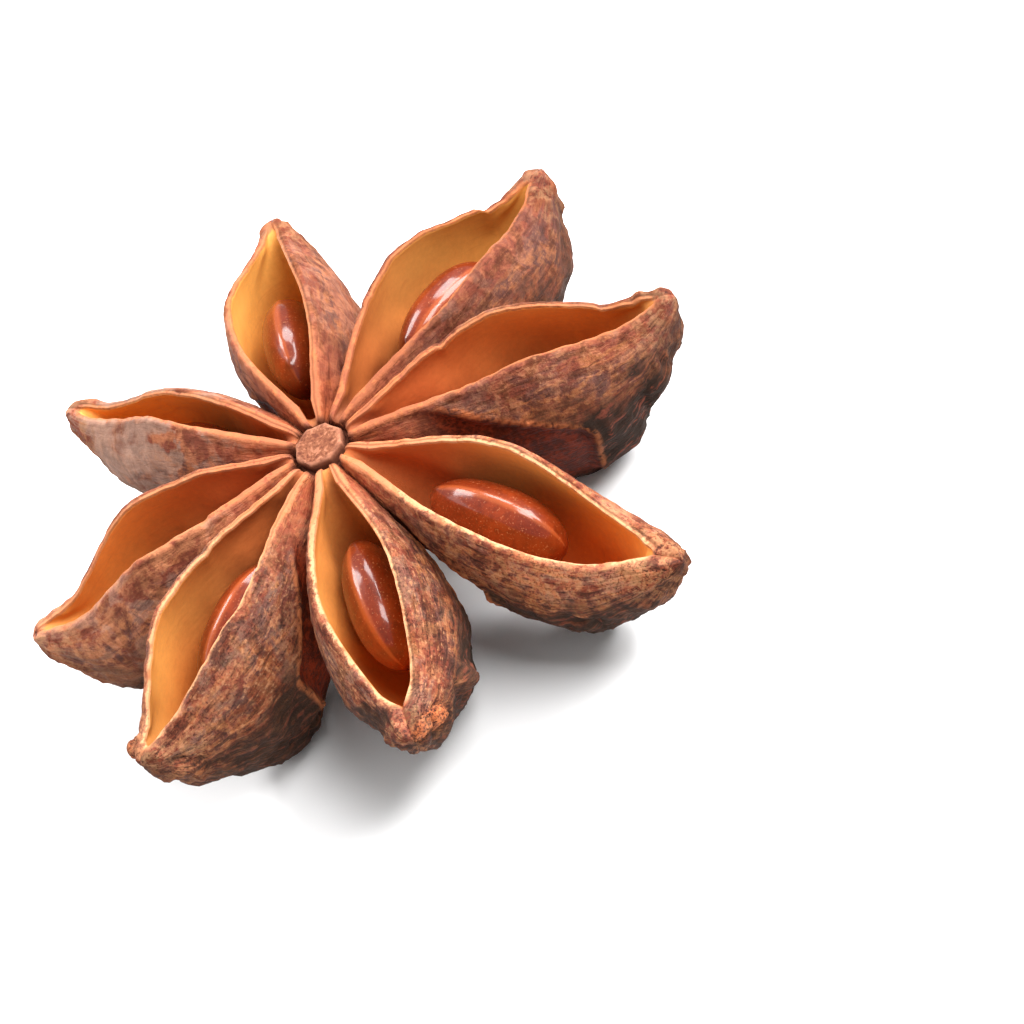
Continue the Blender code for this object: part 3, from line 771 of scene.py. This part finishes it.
class HuskMarks:
    # what the husk's paint knows at each point: the mesh's facts, the noises, and masks made from both
    def __init__(self, finish):
        for name in "fromLip alongPod pressed crease gaping relief onColumn crack sunk stain".split():
            setattr(self, name, finish.known(name))
        self.grain = finish.known("grain", vector=True)
        for name, keys in podFacts.items():
            for key, mark in zip(keys, finish.split(finish.known(name, vector=True))):
                setattr(self, key, mark)
        place = finish.place()
        for name, sockets in huskNoises.items():
            base = self.grain if name in ("broad", "vein", "fibre") else place
            setattr(self, name, finish.cloud(base, **sockets))
        along, char, broad, mottle = self.alongPod, self.char, self.broad, self.mottle
        self.atRoot = along.between(0.42, 0.14)
        self.atBeak = (along + (self.patchB - 0.5) * 0.2).between(0.80, 0.95)
        # mm down from the lip, made ragged
        self.band = self.fromLip + (broad - 0.5) * 5.0 + (self.patchB - 0.5) * 2.4 + (mottle - 0.5) * 1.2
        self.low = self.band.between(2.6, 5.6) * along.between(0.1, 0.45)
        # the dark keel, partly its own colour and partly painted shade, and the painted shade that the beak's
        # underside adds to it
        keelDarkAndShadeMask = (self.band + char * 1.8).between(3.9, 6.7) * along.between(0.3, 0.6) * (char * 0.6 + 0.4)
        shadeBelow = (self.sunk + (broad - 0.5) * 0.9 + (mottle - 0.5) * 0.5).between(0.20, 0.54)
        shadeBelow = shadeBelow * along.between(0.42, 0.66) * (along.between(0.96, 0.80) * 0.65 + 0.35)
        self.keelDarkAndShadeMask = keelDarkAndShadeMask.maths("MAXIMUM", keelDarkAndShadeMask, shadeBelow * char)
        # how ashen the skin is from the middle of a grey pod on, and how much its streaks show
        self.ashen = self.grey.between(0.85, 1.0) * (along + (broad - 0.5) * 0.5).between(0.40, 0.60)
        self.ashen = self.ashen * along.between(0.92, 0.80)
        self.crisp = self.flecked.between(0.25, 0.45) * 0.35 + 0.65
        self.calm = (1 - self.ashen * 0.75) * self.crisp


def skinColour(finish, at):
    # the outside of a pod, from its ground colours to the last specks
    along, root, beak, band, low, keelDarkAndShadeMask = at.alongPod, at.atRoot, at.atBeak, at.band, at.low, at.keelDarkAndShadeMask
    broad, vein, fibre, patch, patchB = at.broad, at.vein, at.fibre, at.patch, at.patchB
    mottle, speck, dust = at.mottle, at.speck, at.dust
    grey, light, flecked, ashen, calm = at.grey, at.light, at.flecked, at.ashen, at.calm
    pink = light * (patchB * 0.6 + mottle * 0.4).between(0.44, 0.56)
    ash = finish.blend("slate", "paleAsh", light.between(0.3, 0.9))
    ashy = (patch * 0.6 + broad * 0.4 + ashen * 0.12).between(0.49 - ashen * 0.05, 0.57 + ashen * 0.07)
    line = band.between(1.3, 1.9) * band.between(3.2, 2.4) * (mottle * 0.6 + fibre * 0.4).between(0.50, 0.57)
    dark = (fibre * 0.6 + speck * 0.4).between(0.46, 0.37)
    tiny = (speck * 0.45 + dust * 0.55).between(0.47, 0.38) * along.between(0.15, 0.5)
    skin = finish.layered(
        "mauve",
        # bands from the lip down
        ("slate", band.between(0.5, 1.3) * (grey * 0.45 + 0.45)),
        ("warm", band.between(1.7, 2.5)),
        ("olive", band.between(3.4, 5.0) * 0.85),
        # patches
        ("pale", pink * (0.92 - low * 0.5)),
        ("brown", patch.between(0.50, 0.40) * (0.80 - light * 0.45)),
        (ash, grey * ashy * (1 - low * (0.5 - ashen * 0.4)) * 0.88),
        ("rootSkin", along.between(0.42, 0.12) * (mottle * 0.5 + vein * 0.5).between(0.36, 0.60) * 0.85),
        # streaks, dark and light, and a ragged line of flecks under the slate
        ("brown", vein.between(0.48, 0.37) * (0.80 - light * 0.35 - flecked * 0.2) * calm),
        ("ochre", vein.between(0.57, 0.66) * (0.42 - root * 0.2) * (1 - keelDarkAndShadeMask * 0.5) * calm),
        ("ochre", line * (0.46 - root * 0.35) * calm),
        ("edge", (fibre * 0.7 + speck * 0.3).between(0.55, 0.64) * 0.24 * calm),
        # the beak, and a painted highlight on what stands proud
        ("tan", beak * mottle.between(0.46, 0.56) * (0.65 - keelDarkAndShadeMask * 0.5)),
        ("root", beak * mottle.between(0.50, 0.40) * (0.50 - keelDarkAndShadeMask * 0.4)),
        ("edge", at.relief.between(0.35, 1.1) * (0.45 - flecked * 0.25) * (1 - keelDarkAndShadeMask)),
        # specks
        ("darkSpecksAndShade", dark * (0.40 - root * 0.25 - light * 0.20) * calm),
        ("darkSpecksAndShade", tiny * flecked * (0.5 + beak * 0.3)),
        ("darkSpecksAndShade", (fibre * 0.6 + dust * 0.4).between(0.49, 0.40) * flecked * 0.40 * (1 - root)),
        ("paleAsh", (speck * 0.5 + fibre * 0.5).between(0.53, 0.63) * flecked * (1 - keelDarkAndShadeMask) * 0.44),
    )
    # fine grains, large soft clouds, and painted shade that darkens the skin down the side
    grains = speck.between(0.34, 0.66) * 0.6 + dust.between(0.34, 0.66) * 0.4
    swells = (broad * 0.4 + patchB * 0.6).between(0.38, 0.62)
    shadeDown = (at.sunk + (patch - 0.5) * 0.7 + (mottle - 0.5) * 0.3).between(0.10, 0.95)
    tone = (0.485 + light * 0.20) * (0.90 + 0.20 * grains) * (0.82 + 0.36 * swells) * (1.10 - 0.42 * shadeDown)
    skin = finish.shade(skin, tone)
    skin = finish.shade(skin, finish.blend(huskTints["warm"], huskTints["plain"], grey.between(0.27, 0.45)))
    split = (patchB * 0.35 + speck * 0.65).between(0.43, 0.57)
    hue = finish.blend(huskTints["pink"], huskTints["straw"], split)
    skin = finish.shade(skin, hue, flecked * 0.85 + 0.15)
    # dull patches, bright bits, painted shade in the wrinkles, the dark keel with its painted shade, blotches
    # of painted shade, and the stained knobs
    dull = (patchB * 0.35 + mottle * 0.35 + fibre * 0.30).between(0.49, 0.41) * (1 - root)
    bits = (speck * 0.45 + fibre * 0.35 + mottle * 0.20).between(0.53, 0.60) * (1 - keelDarkAndShadeMask * 0.6)
    # blotches of painted shade partway down the side of the most flecked pods
    shadeBlotches = (at.sunk + (vein - 0.5) * 0.5).between(0.12, 0.42) * along.between(0.25, 0.6)
    shadeBlotches = shadeBlotches * (mottle * 0.5 + fibre * 0.5).between(0.53, 0.44)
    skin = finish.layered(
        skin,
        ("darkSpecksAndShade", dull * flecked * 0.42),
        ("ochre", bits * flecked * 0.42),
        ("darkSpecksAndShade", (0 - at.relief).between(0.0, 0.9) * 0.80),
        ("darkSpecksAndShade", keelDarkAndShadeMask * (0.95 - at.relief.between(0.2, 1.2) * 0.15)),
        ("root", keelDarkAndShadeMask * (mottle * 0.4 + fibre * 0.6).between(0.52, 0.62) * 0.40),
        ("darkSpecksAndShade", shadeBlotches * flecked * 0.62),
        ("clump", at.stain * (speck * 0.5 + dust * 0.5).between(0.43, 0.58) * 0.80),
    )
    # painted shade: darker and redder towards the column
    skin = finish.shade(skin, huskTints["root"], along.between(0.34, 0.04))
    # the pressed flats, dark partly with painted shade and darker on pods whose keel has more shade, and the
    # worn crease round them
    flat = finish.blend("flat", "flatWarm", (patch * 0.3 + mottle * 0.3 + speck * 0.4).between(0.46, 0.58))
    flat = finish.shade(flat, 0.80 + (1 - at.char).between(0.05, 0.25) * 0.6)
    return finish.layered(
        skin,
        (flat, at.pressed * 0.95),
        ("edge", at.crease.between(0.15, 0.75) * mottle.between(0.36, 0.52) * (0.85 - keelDarkAndShadeMask * 0.3)),
    )


def liningColour(finish, at):
    # bright under the lips, deep orange below, and painted shade that darkens it at the bottom, towards the
    # column and at the beak
    along, gold, dimRoot = at.alongPod, at.gold, at.dimRoot
    depth = 0 - at.fromLip + (at.patch - 0.5) * 1.6
    bright = finish.blend("amber", "gold", gold)
    deep = finish.blend("deepAmber", "deepGold", gold)
    lining = finish.layered(
        bright,
        (deep, (depth - gold * 1.2).between(0.2, 4.5)),
        ("hollow", depth.between(2.8, 8.0) * (0.60 - gold * 0.25)),
        ("deepAmber", along.between(0.80, 0.20) * (1.9 - gold * 1.3).between(0.0, 1.0)),
        ("hollow", along.between(0.44, 0.16) * depth.between(1.4, 3.4) * 0.90 * dimRoot),
        ("hollow", along.between(0.20, 0.02) * depth.between(0.0, 0.9) * 0.9 * dimRoot),
        ("hollow", along.between(0.62, 0.97) * at.dimEnd),
        # painted light at the beak's end where its painted shade is slight
        (bright, along.between(0.60, 0.85) * at.dimEnd.between(0.30, 0.0) * 0.75),
        ("deepAmber", at.vein.between(0.54, 0.72) * 0.22),
        ("rimRootDark", along.between(0.13, 0.02) * (1.05 - at.lips)),
    )
    # each pod's painted light and shade
    return finish.shade(lining, at.glow * (0.94 + 0.10 * at.speck.between(0.3, 0.7)))


def lipColour(finish, at):
    # a pale ragged edge, browner at the column
    mottle, speck = at.mottle, at.speck
    rimRoot = finish.blend("rimRootDark", "rimRoot", at.lips.between(0.05, 0.75))
    return finish.layered(
        "rimDark",
        ("rim", (at.lips + (mottle - 0.5) * 0.9).between(0.05, 0.95)),
        (rimRoot, (at.alongPod + (mottle - 0.5) * 0.3).between(0.40, 0.16)),
        ("edge", (at.fibre * 0.5 + mottle * 0.5).between(0.49, 0.58) * 0.75),
        ("root", (at.patchB * 0.4 + speck * 0.6).between(0.46, 0.38) * 0.7),
    )


def columnColour(finish, at):
    mottle, speck = at.mottle, at.speck
    top = finish.blend("topDark", "top", (mottle * 0.6 + speck * 0.4).between(0.42, 0.56))
    top = finish.shade(top, 0.80 + 0.30 * at.dust.between(0.34, 0.66))
    outward = addNode(finish.tree, "ShaderNodeVectorMath", {"operation": "LENGTH"}, {0: at.grain}, output=1)
    return finish.layered(
        top,
        ("brim", (speck * 0.4 + mottle * 0.6).between(0.52, 0.60) * 0.40),
        ("brim", (outward + (mottle - 0.5) * 0.5).between(0.95, 1.20) * 0.40),
    )


def paintHusk():
    finish = Finish("driedHusk", huskPaint, Specular_IOR_Level=0.08)
    at = HuskMarks(finish)
    mottle, speck = at.mottle, at.speck
    # a scab closes the slit beyond its end
    scab = finish.layered(
        "ochre",
        ("root", (speck * 0.5 + mottle * 0.5).between(0.60, 0.46)),
        ("darkSpecksAndShade", (speck * 0.6 + mottle * 0.4).between(0.50, 0.40) * 0.85),
    )
    lining = finish.blend(scab, liningColour(finish, at), at.gaping)
    lip = finish.blend(scab, lipColour(finish, at), at.gaping)
    ragged = at.fromLip + (speck - 0.5) * 0.30 + (mottle - 0.5) * 0.45
    colour = finish.layered(
        lining,
        (lip, (at.fromLip + (speck - 0.5) * 0.10).between(-0.20, -0.12)),
        (skinColour(finish, at), (ragged - at.atRoot * 0.20).between(-0.10, 0.02)),
        (columnColour(finish, at), at.onColumn),
        # painted shade in the cracks between the pods and round the column
        ("crack", at.crack * 0.88),
    )
    inside = at.fromLip.between(0.05, -0.05)
    rough = 0.78 + (speck - 0.5) * 0.30 - inside * 0.26 - at.pressed * 0.18
    grit = speck * 0.55 + at.dust * 0.15 + at.fibre * 0.8 + at.vein * 0.9
    grit = grit * (1 - inside * 0.90) * (1 - at.pressed * 0.3) * (1 - at.onColumn * 0.6) * at.crisp
    bumps = finish.node("ShaderNodeBump", Height=grit, **huskBump)
    return finish.wear(Base_Color=colour, Roughness=rough, Normal=bumps)


# colours of the seeds, linear, and the noises on them
seedPaint = dict(
    body=(0.125, 0.0140, 0.0021), dark=(0.066, 0.0075, 0.0014), warm=(0.185, 0.0240, 0.0038),
    seam=(0.38, 0.085, 0.022), fleck=(0.50, 0.18, 0.08),
)
seedNoises = dict(
    cloud=dict(Scale=0.45, Detail=3.0, Roughness=0.55),
    mottle=dict(offset=(9.0, 3.0, 21.0), Scale=2.2, Detail=4.0, Roughness=0.6),
    grit=dict(Scale=7.5, Detail=3.0, Roughness=0.6),
    fleck=dict(offset=(2.0, 33.0, 5.0), Scale=8.5, Detail=2.0, Roughness=0.6),
)
seedGloss = dict(Coat_Weight=0.66, Coat_Roughness=0.12, Specular_IOR_Level=0.10)
seedBump = dict(Distance=0.00004, Strength=0.5)


def paintSeeds():
    finish = Finish("glossySeed", seedPaint, **seedGloss)
    place = finish.place()
    cloud, mottle, grit, fleck = (finish.cloud(place, **sockets) for sockets in seedNoises.values())
    colour = finish.layered(
        "body",
        ("warm", cloud.between(0.42, 0.66)),
        ("dark", mottle.between(0.46, 0.68) * 0.5),
        ("warm", grit.between(0.54, 0.68) * 0.5),
        ("fleck", fleck.between(0.60, 0.72) * 0.40),
        # a lighter line along the seam, partly its own colour and partly a painted highlight on its ridge
        ("seam", finish.known("seam").between(0.2, 0.9) * 0.45),
        ("dark", finish.known("scarred").between(0.15, 0.6) * 0.6),
        ("dark", finish.known("endwise").between(-0.75, -1.0) * 0.5),
    )
    rough = 0.38 + (grit - 0.5) * 0.25
    bumps = finish.node("ShaderNodeBump", Height=grit * 0.6 + mottle * 0.5, **seedBump)
    return finish.wear(Base_Color=colour, Roughness=rough, Normal=bumps)


# the floor, and soft lamps that look at the star; lengths in metres
studio = dict(
    world=0.56, floorSize=3.0, floorPaint=dict(white=(0.88,) * 3, worn=(0.8668,) * 3),
    floorNoise=dict(Scale=30.0, Detail=2.0, Roughness=0.55),
)
lamps = dict(
    key=dict(power=6.1, size=0.34, place=(0.45, -0.02, 0.35)),
    top=dict(power=2.4, size=0.22, place=(-0.12, 0.30, 0.42)),
    back=dict(power=2.2, size=0.22, place=(0.32, 0.29, 0.42)),
    glint=dict(power=3.0, size=0.25, place=(0.235, -0.195, 0.48)),
    left=dict(power=1.3, size=0.45, place=(-0.46, 0.22, 0.26)),
)


def makeStage():
    floorMesh = bpy.data.meshes.new("floor")
    half = studio["floorSize"] / 2
    corners = [(-half, -half, 0), (half, -half, 0), (half, half, 0), (-half, half, 0)]
    floorMesh.from_pydata(corners, [], [(0, 1, 2, 3)])
    floor = addObject("floor", floorMesh)
    finish = Finish("paleFloor", studio["floorPaint"], Roughness=0.9, Specular_IOR_Level=0.1)
    tone = finish.cloud(finish.node("ShaderNodeTexCoord", output=3), **studio["floorNoise"])
    floorMesh.materials.append(finish.wear(Base_Color=finish.blend("white", "worn", tone)))
    world = bpy.data.worlds.new("studio")
    world.use_nodes = True
    world.node_tree.nodes["Background"].inputs["Color"].default_value = (1, 1, 1, 1)
    world.node_tree.nodes["Background"].inputs["Strength"].default_value = studio["world"]
    bpy.context.scene.world = world
    for name, plan in lamps.items():
        light = bpy.data.lights.new(name, "AREA")
        light.energy = plan["power"]
        light.size = plan["size"]
        lamp = addObject(name, light)
        lamp.location = plan["place"]
        lamp.rotation_euler = (-lamp.location).to_track_quat("-Z", "Y").to_euler()


# the camera: its tilt over the star, its roll, its distance and lens in mm, and where the star stands
view = dict(tilt=47.3, roll=-37.35, distance=158.57, lens=116.5, aside=9.32, lower=3.31, sensor=36,
            clip=(0.005, 20))


def makeCamera():
    tilt, roll = math.radians(view["tilt"]), math.radians(view["roll"])
    back = Vector((0, -math.sin(tilt), math.cos(tilt)))
    level, rising = Vector((1, 0, 0)), Vector((0, math.cos(tilt), math.sin(tilt)))
    right = math.cos(roll) * level + math.sin(roll) * rising
    up = -math.sin(roll) * level + math.cos(roll) * rising
    eye = Vector(centre) + back * view["distance"]
    target = Vector(centre) + right * view["aside"] - up * view["lower"]
    away = (eye - target).normalized()
    side = up.cross(away).normalized()
    turn = Matrix((side, away.cross(side), away)).transposed().to_4x4()
    camera = addObject("camera", bpy.data.cameras.new("camera"))
    camera.data.sensor_width = view["sensor"]
    camera.data.lens = view["lens"]
    camera.data.clip_start, camera.data.clip_end = view["clip"]
    camera.matrix_world = Matrix.Translation(eye * mm) @ turn
    bpy.context.scene.camera = camera


makeCamera()
makeStage()
bpy.context.scene.view_settings.view_transform = "Standard"
print("stage and camera set")

husk = makeHusk()
husk.data.materials.append(paintHusk())
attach(husk, "root")
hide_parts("husk")
print("husk grown:", len(husk.data.polygons), "faces")

seedFinish = paintSeeds()
for number in range(1, len(pods) + 1):
    seed = makeSeed(number)
    seed.data.materials.append(seedFinish)
    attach(seed, "root")
    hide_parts(f"seed_{number}")
print("seeds laid in")

bpy.context.view_layer.update()
